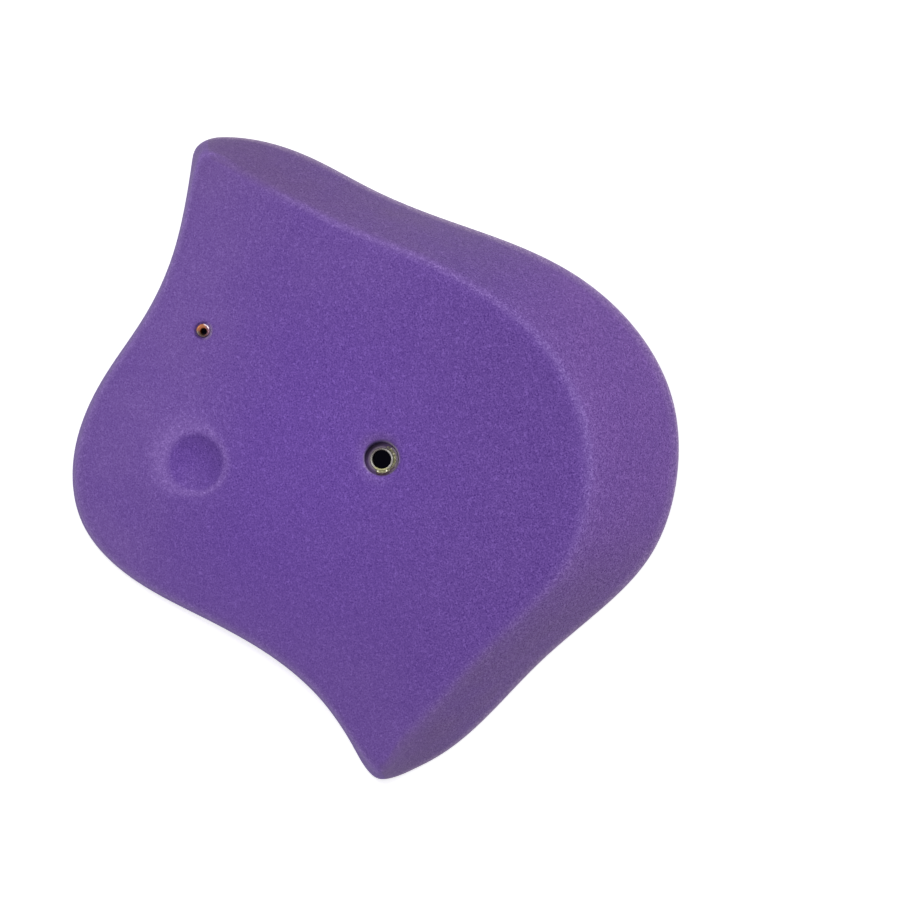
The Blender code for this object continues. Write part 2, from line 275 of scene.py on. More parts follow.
# The cast hold: its outline goes through these stations, anticlockwise from the right tip, in metres
# from the boss axis: foot x, foot y, corner x, corner y, reach of the rounding at the corner
holdStations = [
    (0.1866, -0.0460, 0.1765, -0.0465, 0.011),
    (0.1852, -0.0330, 0.1665, -0.0355, 0.012),
    (0.1815, -0.0160, 0.1560, -0.0210, 0.012),
    (0.1672, 0.0170, 0.1390, 0.0045, 0.010),
    (0.1440, 0.0570, 0.1155, 0.0435, 0.009),
    (0.1250, 0.0970, 0.0940, 0.0800, 0.009),
    (0.1000, 0.1385, 0.0650, 0.1030, 0.009),
    (0.0600, 0.1660, 0.0380, 0.1140, 0.009),
    (0.0120, 0.1765, 0.0110, 0.1180, 0.009),
    (-0.0370, 0.1650, -0.0160, 0.1150, 0.009),
    (-0.0760, 0.1390, -0.0470, 0.1040, 0.009),
    (-0.1050, 0.1060, -0.0780, 0.0810, 0.009),
    (-0.1290, 0.0720, -0.1050, 0.0540, 0.010),
    (-0.1570, 0.0365, -0.1340, 0.0170, 0.010),
    (-0.1870, 0.0040, -0.1635, -0.0155, 0.011),
    (-0.2040, -0.0225, -0.1840, -0.0350, 0.012),
    (-0.2102, -0.0385, -0.1950, -0.0440, 0.012),
    (-0.2118, -0.0500, -0.2005, -0.0505, 0.011),
    (-0.2085, -0.0585, -0.2005, -0.0545, 0.009),
    (-0.2003, -0.0634, -0.1965, -0.0583, 0.008),
    (-0.1830, -0.0710, -0.1810, -0.0670, 0.007),
    (-0.1500, -0.0890, -0.1480, -0.0855, 0.007),
    (-0.1220, -0.1125, -0.1190, -0.1095, 0.007),
    (-0.0912, -0.1483, -0.0880, -0.1450, 0.007),
    (-0.0503, -0.1785, -0.0480, -0.1745, 0.007),
    (-0.0110, -0.1843, -0.0110, -0.1800, 0.007),
    (0.0258, -0.1672, 0.0237, -0.1638, 0.007),
    (0.0610, -0.1325, 0.0580, -0.1295, 0.007),
    (0.0950, -0.0980, 0.0925, -0.0945, 0.007),
    (0.1290, -0.0752, 0.1275, -0.0710, 0.007),
    (0.1600, -0.0645, 0.1590, -0.0600, 0.007),
    (0.1785, -0.0594, 0.1740, -0.0543, 0.009),
    (0.1845, -0.0550, 0.1770, -0.0520, 0.010),
]

holdValues = {
    "length": 0.3984,
    "height": 0.3614,
    "faceHeight": 0.056,  # at the boss axis, then how it changes over one span
    "faceSpan": 0.100,
    "faceRise": 0.0155,
    "sideDrop": 0.0036,
    "endDrop": 0.0013,
    "kerbHeight": 0.005,
    "kerbDraft": 0.0004,
    "kerbRounding": 0.0035,
    "footRounding": 0.0006,
    "sideFullness": 0.025,
    "perStation": 12,
    "sideRings": 9,
    "crestRings": 9,
    "faceRings": 66,
}

# Hollows in the face: the counterbore of the bolt, the recess of the set screw and the thumb dimple
hollowValues = {
    "counterbore": 0.0101,
    "counterboreDepth": 0.018,
    "washerSeat": 0.00985,
    "mouthFlare": 0.0001,
    "mouthShift": (-0.00068, 0.00049),
    "rimRounding": 0.0023,
    "sleeveHole": 0.0071,
    "screw": (-0.0997, -0.0808),
    "recess": 0.0053,
    "recessDepth": 0.0022,
    "recessRounding": 0.0016,
    "barrelHole": 0.00360,
    "barrelDepth": 0.0143,
    "screwHole": 0.0024,
    "dimple": (-0.0264, -0.1059),
    "dimpleRadius": 0.0171,
    "dimpleDepth": 0.0060,
    "dimpleSoftness": (0.0007, 0.0024),  # at its crisp side and at its soft side
    "softSide": (0.2487, -0.9686),
}


def splineThrough(knots, perSpan):
    # Closed cubic through the knots, with the same number of points on every span
    following = np.roll(knots, -1, axis=0)
    gap = np.linalg.norm((following - knots)[:, :2], axis=1)
    chord = (following - knots) / gap[:, None]
    count = len(knots)
    system, target = np.zeros((count, count)), np.zeros_like(knots)
    for i in range(count):
        before, after = 1 / gap[i - 1], 1 / gap[i]
        system[i, [i - 1, i, (i + 1) % count]] = before, 2 * (before + after), after
        target[i] = 3 * (chord[i - 1] * before + chord[i] * after)
    slope = np.linalg.solve(system, target)
    nextSlope = np.roll(slope, -1, axis=0)
    points = np.zeros((count, perSpan, knots.shape[1]))
    for step in range(perSpan):
        t = step / perSpan
        points[:, step] = ((2 * t**3 - 3 * t**2 + 1) * knots + (3 * t**2 - 2 * t**3) * following
                           + (t**3 - 2 * t**2 + t) * gap[:, None] * slope
                           + (t**3 - t**2) * gap[:, None] * nextSlope)
    return points.reshape(-1, knots.shape[1])


def holdStretch():
    foot = splineThrough(np.array(holdStations), 16)[:, :2]
    return np.array([holdValues["length"], holdValues["height"]]) / np.ptp(foot, axis=0)


def holdOutline(perStation):
    knots = np.array(holdStations)
    knots[:, :4] *= np.tile(holdStretch(), 2)
    fine = splineThrough(knots, perStation)
    return fine[:, 0:2], fine[:, 2:4], fine[:, 4:5]


screwX, screwY = np.array(hollowValues["screw"]) * holdStretch()
dimpleX, dimpleY = np.array(hollowValues["dimple"]) * holdStretch()


def planeHeight(x, y):
    values = holdValues
    across, upward = x / values["faceSpan"], y / values["faceSpan"]
    return (values["faceHeight"] + values["faceRise"] * upward
            - values["sideDrop"] * across**2 - values["endDrop"] * upward**2)


def softMax(value, softness):
    # The larger of value and 0, rounded over where they meet
    return (value + np.sqrt(value**2 + softness**2)) / 2


def hollowDepth(x, y):
    # How far the dimple and the worn rim of the set screw's recess lie below the plain face
    values = hollowValues
    across, upward = x - dimpleX, y - dimpleY
    share = np.hypot(across, upward) / values["dimpleRadius"]
    side = (across * values["softSide"][0] + upward * values["softSide"][1]) / values["dimpleRadius"]
    softness = between(values["dimpleSoftness"], np.clip(0.5 + side / 2, 0, 1))
    depth = softMax(values["dimpleDepth"] * (1 - share**2), softness)
    fade = np.clip((1.9 - share) / 0.7, 0, 1)
    fromScrew = np.hypot(x - screwX, y - screwY) - values["recess"]
    rim = np.clip(1 - fromScrew / values["recessRounding"], 0, 1) ** 2 * values["recessRounding"] * 0.5
    return depth * fade * fade * (3 - 2 * fade) + rim


def surfaceHeight(x, y):
    return planeHeight(x, y) - hollowDepth(x, y)


def atHeight(flat, height):
    return np.column_stack([flat, np.broadcast_to(height, len(flat))])


def onFace(flat):
    return atHeight(flat, surfaceHeight(*flat.T))


def unit(vectors):
    return vectors / np.linalg.norm(vectors, axis=1, keepdims=True)


def bend(start, corner, end, steps):
    # A curve that leaves start towards corner and arrives at end from it
    for step in range(steps + 1):
        t = step / steps
        yield (1 - t) ** 2 * start + 2 * t * (1 - t) * corner + t**2 * end


def sideRings(foot, corner, reach):
    values = holdValues
    inward = unit(corner - foot)
    level = lambda offset, height: atHeight(foot + offset * inward, height)
    foot0, foot1 = level(values["footRounding"], 0.0), level(0.0, 0.0)
    foot2 = level(values["kerbDraft"] * values["footRounding"] / values["kerbHeight"], values["footRounding"])
    kerb = level(values["kerbDraft"], values["kerbHeight"])
    crest = onFace(corner)
    slope = crest - kerb
    length = np.linalg.norm(slope, axis=1, keepdims=True)
    slope = slope / length
    outward = np.column_stack([-inward * slope[:, 2:3], np.linalg.norm(slope[:, :2], axis=1)])
    full = lambda t: (kerb + t * (crest - reach * slope - kerb)
                      + 4 * values["sideFullness"] * t * (1 - t) * length * outward)
    rings = list(bend(foot0, foot1, foot2, 3))
    kerbShare = values["kerbRounding"] / length
    below = kerb - unit(kerb - foot1) * values["kerbRounding"]
    rings += list(bend(below, kerb, full(kerbShare), 4))
    for step in range(1, values["sideRings"]):
        rings.append(full(kerbShare + (1 - kerbShare) * step / values["sideRings"]))
    end = onFace(corner - reach * unit(corner))
    crestRings = list(bend(full(1.0), crest, end, values["crestRings"]))
    return rings + crestRings, crestRings[values["crestRings"] // 2]


def boltRings(directions):
    # The counterbore with its worn rim, its floor and the hole for the sleeve
    values = hollowValues
    radius, rounding = values["counterbore"] + values["mouthFlare"], values["rimRounding"]
    floor = holdValues["faceHeight"] - values["counterboreDepth"]
    bore, shift = np.array([boreX, boreY]), np.array(values["mouthShift"])
    rings = []
    for step in range(5):
        angle = math.pi / 2 * step / 4
        ring = onFace(bore + directions * (radius + rounding * (1 - math.sin(angle))) + shift)
        ring[:, 2] -= rounding * (1 - math.cos(angle))
        rings.append(ring)
    rimHeight = rings[-1][:, 2]
    around = lambda size, height, move=0: atHeight(bore + directions * size + shift * move, height)
    narrowing = radius - values["washerSeat"]
    rings += [around(radius - narrowing * share, rimHeight + (floor - rimHeight) * share, 1 - share)
              for share in (0.1, 0.25, 0.4, 0.55, 0.7, 0.85, 0.95, 1.0)]
    rings += [around(values["sleeveHole"], floor * share) for share in (1.0, 0.98, 0.6, 0.3, 0.0)]
    return rings


def buildSkin():
    foot, corner, reach = holdOutline(holdValues["perStation"])
    rings, crestLine = sideRings(foot, corner, reach)
    inner = rings[-1][:, :2]
    directions = unit(inner)
    bolt = boltRings(directions)
    steps = holdValues["faceRings"]
    for step in range(1, steps):
        t = step / steps
        rings.append(onFace(inner * (1 - t) + bolt[0][:, :2] * t))
    rings += bolt
    corners = np.arange(len(foot) * len(rings)).reshape(len(rings), len(foot))
    after = np.roll(corners, -1, axis=0)
    faces = np.stack([corners, np.roll(corners, -1, axis=1), np.roll(after, -1, axis=1), after], axis=2)
    mesh = bpy.data.meshes.new("castHold")
    mesh.from_pydata(np.concatenate(rings).tolist(), [], faces.reshape(-1, 4).tolist())
    return mesh, crestLine, len(foot) * (len(rings) - 1)


def refineAround(mesh, x, y, radius, cuts):
    # More faces where the hold is cut or dips, with their new corners set on its surface
    shape = bmesh.new()
    shape.from_mesh(mesh)
    near = lambda point: math.hypot(point.x - x, point.y - y) < radius and point.z > 0.02
    edges = [edge for edge in shape.edges if all(near(corner.co) for corner in edge.verts)]
    bmesh.ops.subdivide_edges(shape, edges=edges, cuts=cuts, use_grid_fill=True)
    for corner in shape.verts:
        if near(corner.co):
            corner.co.z = surfaceHeight(corner.co.x, corner.co.y)
    shape.to_mesh(mesh)
    shape.free()


def lathe(name, profile, x, y, steps=72):
    # Turns (radius, height) points round an upright axis; radius 0 closes the shape
    shape = bmesh.new()
    rows = []
    for radius, height in profile:
        if radius == 0:
            rows.append([shape.verts.new((x, y, height))] * steps)
        else:
            rows.append([shape.verts.new((x + radius * math.cos(2 * math.pi * k / steps),
                                          y + radius * math.sin(2 * math.pi * k / steps), height))
                         for k in range(steps)])
    for upper, lower in zip(rows, rows[1:]):
        for i in range(steps):
            j = (i + 1) % steps
            shape.faces.new(list(dict.fromkeys((upper[i], lower[i], lower[j], upper[j]))))
    bmesh.ops.recalc_face_normals(shape, faces=shape.faces)
    mesh = bpy.data.meshes.new(name)
    shape.to_mesh(mesh)
    shape.free()
    return addObject(name, mesh)


def cutWith(piece, cutter):
    modifier = piece.modifiers.new(cutter.name, "BOOLEAN")
    modifier.operation, modifier.solver, modifier.object = "DIFFERENCE", "MANIFOLD", cutter


def bake(piece):
    # Turns a piece's modifiers into its own plain mesh
    bpy.context.view_layer.update()
    graph = bpy.context.evaluated_depsgraph_get()
    mesh = bpy.data.meshes.new_from_object(piece.evaluated_get(graph))
    piece.modifiers.clear()
    piece.data = mesh
    return piece


def drop(*helpers):
    for helper in helpers:
        bpy.data.objects.remove(helper)


# Geometry Nodes
def newTree(name, values):
    # A tree with an input for each of the values and for the material
    tree = bpy.data.node_groups.new(name, "GeometryNodeTree")
    kinds = {label: "Int" if isinstance(value, int) else "Float" for label, value in values.items()}
    for label, kind in {"Geometry": "Geometry", **kinds, "Material": "Material"}.items():
        tree.interface.new_socket(name=label, in_out="INPUT", socket_type="NodeSocket" + kind)
    tree.interface.new_socket(name="Geometry", in_out="OUTPUT", socket_type="NodeSocketGeometry")
    return tree, addNode(tree, "NodeGroupInput", output=None)


def endTree(tree, given, geometry):
    real = addNode(tree, "GeometryNodeRealizeInstances", {0: geometry})
    painted = addNode(tree, "GeometryNodeSetMaterial", {0: real, "Material": given["Material"]})
    addNode(tree, "NodeGroupOutput", {0: painted}, None)
    return tree


def applyTree(piece, tree, values, material):
    modifier = piece.modifiers.new(tree.name, "NODES")
    modifier.node_group = tree
    values = {**values, "Material": material}
    for item in tree.interface.items_tree:
        if item.in_out == "INPUT" and item.name in values:
            modifier[item.identifier] = values[item.name]
    return bake(piece)


# The hollow back: a shell with six ribs that run from the bolt boss, and a boss under the set screw
backValues = {
    "rimWidth": 0.015,
    "cornerWall": 0.008,
    "shell": 0.012,
    "boltBoss": 0.0261,
    "screwBoss": 0.0153,
    "spokes": 144,
    "roofRings": 8,
    "below": 0.010,
    "voxel": 0.0025,
    "softening": 5,
}

ribValues = {
    "Rib Count": 6,
    "Rib Width": 0.010,
    "Rib Start": 0.014,
    "Rib Length": 0.220,
    "Rib Height": 0.090,
    "Rib Recess": 0.0015,
    "First Angle": math.atan2(screwY, screwX),
}


def ribTree():
    tree, given = newTree("backRibs", ribValues)
    size = addNode(tree, "ShaderNodeCombineXYZ",
                   {0: given["Rib Length"], 1: given["Rib Width"], 2: given["Rib Height"]})
    bar = addNode(tree, "GeometryNodeMeshCube", {"Size": size})
    outwards = plusShare(tree, given["Rib Start"], given["Rib Length"], 0.5)
    raised = plusShare(tree, given["Rib Recess"], given["Rib Height"], 0.5)
    offset = addNode(tree, "ShaderNodeCombineXYZ", {0: outwards, 2: raised})
    placed = addNode(tree, "GeometryNodeTransform", {0: bar, "Translation": offset})
    points = addNode(tree, "GeometryNodePoints", {"Count": given["Rib Count"]})
    turn = mathOf(tree, "DIVIDE", 2 * math.pi, given["Rib Count"])
    step = times(tree, addNode(tree, "GeometryNodeInputIndex"), turn)
    angle = addNode(tree, "ShaderNodeCombineXYZ", {2: mathOf(tree, "ADD", given["First Angle"], step)})
    rotation = addNode(tree, "FunctionNodeEulerToRotation", {0: angle})
    ribs = addNode(tree, "GeometryNodeInstanceOnPoints", {
        "Points": points, "Instance": placed, "Rotation": rotation})
    return endTree(tree, given, ribs)


def insetLoop(loop, distance, count):
    # A loop kept a distance inside another one, read along spokes from the boss axis
    spokes = []
    for k in range(count):
        angle = 2 * math.pi * k / count
        along, across = turned(*loop.T, -angle)
        near = (np.abs(across) < distance) & (along > 0)
        spokes.append(turned(np.min(along[near] - np.sqrt(distance**2 - across[near] ** 2)), 0, angle))
    return np.array(spokes)


def buildCavity(material):
    values = backValues
    foot, corner, _ = holdOutline(16)
    mouth = insetLoop(foot, values["rimWidth"], values["spokes"])
    roof = insetLoop(corner, values["cornerWall"], values["spokes"])
    rings = [atHeight(mouth, -values["below"]), atHeight(mouth, 0.0)]
    for step in range(values["roofRings"]):
        flat = roof * (1 - step / values["roofRings"])
        rings.append(atHeight(flat, planeHeight(*flat.T) - values["shell"]))
    shape = bmesh.new()
    rows = [[shape.verts.new(point) for point in ring] for ring in rings]
    peak = shape.verts.new((0, 0, holdValues["faceHeight"] - values["shell"]))
    shape.faces.new(rows[0][::-1])
    for lower, upper in zip(rows, rows[1:] + [[peak] * len(mouth)]):
        for i in range(len(mouth)):
            j = (i + 1) % len(mouth)
            shape.faces.new(list(dict.fromkeys((lower[i], lower[j], upper[j], upper[i]))))
    mesh = bpy.data.meshes.new("cavity")
    shape.to_mesh(mesh)
    shape.free()
    cavity = addObject("cavity", mesh)

    ribs = applyTree(addObject("ribs", bpy.data.meshes.new("ribs")), ribTree(), ribValues, material)
    top, low = 0.1, -0.02
    bosses = [lathe(name, [(0, top), (values[name], top), (values[name], low), (0, low)], x, y)
              for name, x, y in (("boltBoss", 0, 0), ("screwBoss", screwX, screwY))]
    for standing in [ribs, *bosses]:
        cutWith(cavity, standing)
    remesh = cavity.modifiers.new("even", "REMESH")
    remesh.mode, remesh.voxel_size = "VOXEL", values["voxel"]
    soften = cavity.modifiers.new("fillets", "SMOOTH")
    soften.factor, soften.iterations = 0.5, values["softening"]
    bake(cavity)
    drop(ribs, *bosses)
    paint(cavity.data, material)
    print("hollow back shaped:", len(cavity.data.polygons), "faces")
    return cavity


# The purple cast: sandy grip texture, paler where hands and shoes wear it, with painted light and shade round
# its hollows
castValues = {
    "colour": (0.132, 0.060, 0.316),
    "rich": (0.140, 0.062, 0.360),  # the least handled part, left of the bolt
    "pale": (0.176, 0.094, 0.360),  # where hands rub the lower part
    "flushed": (0.174, 0.074, 0.360),  # redder, on the slope right of the crest
    "scuffedAndShaded": (0.148, 0.081, 0.256),  # greyer, on the slope near the tips, and painted shade above the counterbore
    "wornAndLit": (0.240, 0.138, 0.460),  # along the edges, and painted light low in the dimple
    # a pale colour for dust and for painted light on lit walls, rims and edges
    "dustAndLight": (0.62, 0.50, 0.66),
    # a dark colour for painted shade
    "paintedShade": (0.028, 0.007, 0.078),
    "grainLow": (0.27, 0.055, 0.46),  # what the grain multiplies the colour by at its strongest
    "grainHigh": (1.73, 1.945, 1.54),
    "coarser": (0.38, 1.62),  # the grain is stronger in some spots than in others
    "fineGrain": 0.0009,
    "grain": 0.0024,
    "patches": 0.028,
    "bumpHeight": 0.00050,
    "sheen": 0.10,
}


def attributeOf(tree, name):
    return addNode(tree, "ShaderNodeAttribute", output="Fac", attribute_name=name)


def castMaterial(values):
    material, tree, where = startMaterial("purpleCast")
    fine = noiseOf(tree, where, values["fineGrain"], 1.0, 0.6)
    grain = noiseOf(tree, where, values["grain"], 2.0, 0.6)
    patches = noiseOf(tree, where, values["patches"], 3.0, 0.55)
    uneven = rangeOf(tree, patches, 0.30, 0.70, 0.75, 1.25)
    broken = rangeOf(tree, grain, 0.30, 0.70, 0.70, 1.30)

    colour = mixOf(tree, attributeOf(tree, "rich"), values["colour"], values["rich"])
    colour = mixOf(tree, rangeOf(tree, patches, 0.35, 0.75, 0.0, 0.12), colour, values["pale"])
    # the dust layer also carries painted light and sheen, the worn layer painted light in the dimple, the
    # scuffed layer painted grey shade
    for name, spread in (("pale", uneven), ("flushed", uneven), ("scuffedAndShaded", uneven), ("wornAndLit", broken),
                         ("dustAndLight", broken)):
        colour = mixOf(tree, times(tree, attributeOf(tree, name), spread, clamp=True), colour, values[name])
    mixed = plusShare(tree, times(tree, fine, 0.75), grain, 0.25)
    grains = mixOf(tree, rangeOf(tree, mixed, 0.29, 0.71), values["grainLow"], values["grainHigh"])
    coarser = rangeOf(tree, grain, 0.30, 0.70, *values["coarser"])
    grit = times(tree, attributeOf(tree, "grit"), coarser, clamp=True)
    colour = mixOf(tree, grit, colour, grains, blend="MULTIPLY")
    return endMaterial(material, {
        # painted shade: the darkest layer, on shaded walls, in recesses and in the dimple
        "Base Color": mixOf(tree, attributeOf(tree, "paintedShade"), colour, values["paintedShade"]),
        "Roughness": rangeOf(tree, fine, 0.3, 0.7, 0.96, 0.78),
        "Specular IOR Level": 0.30,
        "Sheen Weight": values["sheen"],
        "Sheen Roughness": 0.45,
    }, plusShare(tree, fine, grain, 1.5), 0.5, values["bumpHeight"])


# The back is as it left the mould: a smoother skin with shallow flow marks
backSkinValues = {
    "colour": (0.120, 0.058, 0.285),
    "pale": (0.165, 0.088, 0.350),
    "flow": 0.024,
    "pores": 0.0012,
}


def backMaterial(values):
    material, tree, where = startMaterial("mouldedBack")
    stretched = addNode(tree, "ShaderNodeMapping", {"Vector": where, "Scale": (1.0, 2.4, 1.0)})
    flow = noiseOf(tree, stretched, values["flow"], 4.0, 0.6)
    pores = noiseOf(tree, where, values["pores"], 2.0, 0.5)
    colour = mixOf(tree, rangeOf(tree, flow, 0.35, 0.70), values["colour"], values["pale"])
    colour = mixOf(tree, rangeOf(tree, pores, 0.36, 0.26, 0.0, 0.5), colour, rgb(values["colour"], 0.55))
    return endMaterial(material, {
        "Base Color": colour,
        "Roughness": rangeOf(tree, flow, 0.3, 0.7, 0.42, 0.60),
    }, plusShare(tree, flow, pores, 0.12), 0.4, 0.0012)


# A hand-shaped surface is never quite even: shallow waves over the face and side
waveValues = {
    "Wave Depth": 0.00030,
    "Wave Size": 0.034,
    "Fine Depth": 0.00010,
    "Fine Size": 0.009,
    "Seed": 7.0,
}


def waveTree():
    tree, given = newTree("unevenSurface", waveValues)
    where = addNode(tree, "GeometryNodeInputPosition")
    parts = []
    for depth, size in (("Wave Depth", "Wave Size"), ("Fine Depth", "Fine Size")):
        field = addNode(tree, "ShaderNodeTexNoise", {
            "Vector": where, "W": given["Seed"], "Scale": mathOf(tree, "DIVIDE", 1.0, given[size]),
            "Detail": 2.0}, "Fac", noise_dimensions="4D")
        parts.append(times(tree, field, given[depth]))
    free = addNode(tree, "GeometryNodeInputNamedAttribute", {"Name": "openSurface"}, data_type="FLOAT")
    inward = times(tree, times(tree, mathOf(tree, "ADD", *parts), free), -1.0)
    normal = addNode(tree, "GeometryNodeInputNormal")
    offset = addNode(tree, "ShaderNodeVectorMath", {0: normal, "Scale": inward}, operation="SCALE")
    moved = addNode(tree, "GeometryNodeSetPosition", {0: given["Geometry"], "Offset": offset})
    return endTree(tree, given, moved)


def positions(mesh, kind="co"):
    points = np.zeros(len(mesh.vertices) * 3)
    mesh.vertices.foreach_get(kind, points)
    return points.reshape(-1, 3)


def setAttribute(mesh, name, amounts):
    attribute = mesh.attributes.get(name) or mesh.attributes.new(name, "FLOAT", "POINT")
    attribute.data.foreach_set("value", np.ascontiguousarray(amounts, dtype=np.float32))


def markOpenSurface(mesh):
    # 0 at the wall and round the bolt and the set screw, 1 on the free surface
    x, y, z = positions(mesh).T
    low = np.clip((z - 0.006) / 0.010, 0, 1)
    bolt = np.clip((np.hypot(x - boreX, y - boreY) - 0.012) / 0.008, 0, 1)
    screw = np.clip((np.hypot(x - screwX, y - screwY) - 0.008) / 0.008, 0, 1)
    setAttribute(mesh, "openSurface", low * bolt * screw)


def distanceTo(points, line):
    tree = KDTree(len(line))
    for index, point in enumerate(line):
        tree.insert(point, index)
    tree.balance()
    return np.array([tree.find(point)[2] for point in points])


# Where the cast is worn and dusty, and where light and shade are painted on it, in metres right and up in the
# picture. A spot is an amount, its place and its reach.
# An arc round the bolt is an amount, its reach and width, its side, and where on it it starts and is full
wearValues = {
    "onTop": 0.0075,  # what lies less deep than this is on the face
    "crestWidth": (0.0044, 0.0026),  # low and high in the picture
    "crestAmount": (0.24, 0.60),
    "crestTail": 0.014,  # how far the wear fades out down the slope
    "tailAmount": 0.30,
    "lowCrest": 0.38,  # and the rounding above the steep lower side
    "tipFade": (0.150, 0.190),  # the crest line fades out towards the two tips
    "dimpleAmount": 0.56,
    "dimpleWidth": (0.0022, 0.0060),  # at its thin side and at its wide side
    "dimpleOffset": (0.0010, 0.0042),
    "wideSide": (-0.866, 0.5),
    "quietSide": (-0.15, 0.989),  # where its rim shows least
    "quietAmount": 0.35,
    "glow": (0.24, (-0.010, 0.022), 0.026),  # a wide pale patch beyond it, from the dimple's middle
    "dimpleShade": 0.10,  # painted shade: a darker crescent inside its crisp edge
    "shadeSide": (0.42, 0.91),
    "dimpleLitFloor": (0.22, (-0.0030, -0.0108), 0.0075),  # and painted light: a paler place low inside it
    "rim": (0.38, 0.0118, 0.0028, (-0.87, -0.50), (-0.4, 0.8)),
    "dullArc": (1.0, 0.0128, 0.0034, (-0.08, 1.0), (0.3, 0.95)),  # painted shade: a dull, darker and greyer arc above the rim
    "dullArcGrey": 0.50,
    "dullArcShade": 0.05,
    "litArcs": [  # painted light on that rim: a glint and a lit patch
        (0.80, 0.0094, 0.0011, (0.82, 0.57), (0.5, 1.0)),
        (0.26, 0.0097, 0.0009, (-0.99, -0.14), (0.5, 1.0)),
    ],
    "paleFrom": (0.060, 0.155),
    "paleAmount": 0.75,
    "paleSpot": (0.36, (-0.0246, 0.125), (0.050, 0.036)),  # and a little inside the upper crest
    "rich": (1.0, (-0.045, 0.005), 0.085),
    "flushFrom": (0.04, 0.12),
    "flushAmount": 0.9,
    "scuffAmount": 0.75,
    "lowFrom": (0.085, 0.145),  # the lower edge is rubbed too
    "lowScuff": 0.08,
    "lowPale": 0.34,
    "tip": (1.0, (-0.100, 0.180), 0.040),  # and the upper tip
    "tipScuff": 0.28,
    "tipPale": 0.22,
    "dusks": [  # painted shade: slightly darker patches
        (0.06, (0.075, 0.050), 0.055),
        (0.08, (0.118, -0.092), 0.032),
    ],
    "grit": 0.60,  # strength of the grain, then what changes it
    "rightGrit": 0.135,
    "paleGrit": -0.195,
    "lowGrit": -0.115,
    "slopeGrit": 0.195,
    "edgeSheenAndDust": (0.20, 0.33),  # dust and painted sheen round the outline, least and most
    "edgeSide": (0.34, 0.94),  # where it is most
    "edgeReach": (0.0010, 0.0030),
    "edgeRise": (-0.004, 0.005),  # the heights over which it comes and goes
    "edgeFall": (0.008, 0.013),
    "edgeLow": 0.4,  # and its share on the steep lower side
    "edgeSteps": 80,
    "wallShadeAmount": 0.38,  # painted shade on the shaded side of the counterbore's wall
    "wallShadeSide": (-0.57, 0.82),
    # painted light on the lit side of that wall
    "litWallAmount": 0.64,
    "litWallSide": (0.94, 0.34),
    # painted light on the near side of the set screw's recess, and painted shade on its far side
    "recessLight": 0.37,
    "recessShade": 0.40,
    "recessSide": (0.966, -0.259),
    "screwShade": 0.10,  # and a painted shadow on its far side
    "shadeReach": (0.0052, 0.0012),
}


def facing(around, side, spread=None):
    # 1 on the named side of a round feature and -1 on the far side, or 0 to 1 over a spread of that
    along = (around[0] * side[0] + around[1] * side[1]) / np.maximum(np.hypot(*around), 1e-6)
    return along if spread is None else smoothStep(along, *spread)


def spotOf(around, amount, place, reach):
    reachRight, reachUp = np.broadcast_to(reach, 2)
    away = np.hypot((around[0] - place[0]) / reachRight, (around[1] - place[1]) / reachUp)
    return bell(away, 1.0) * amount


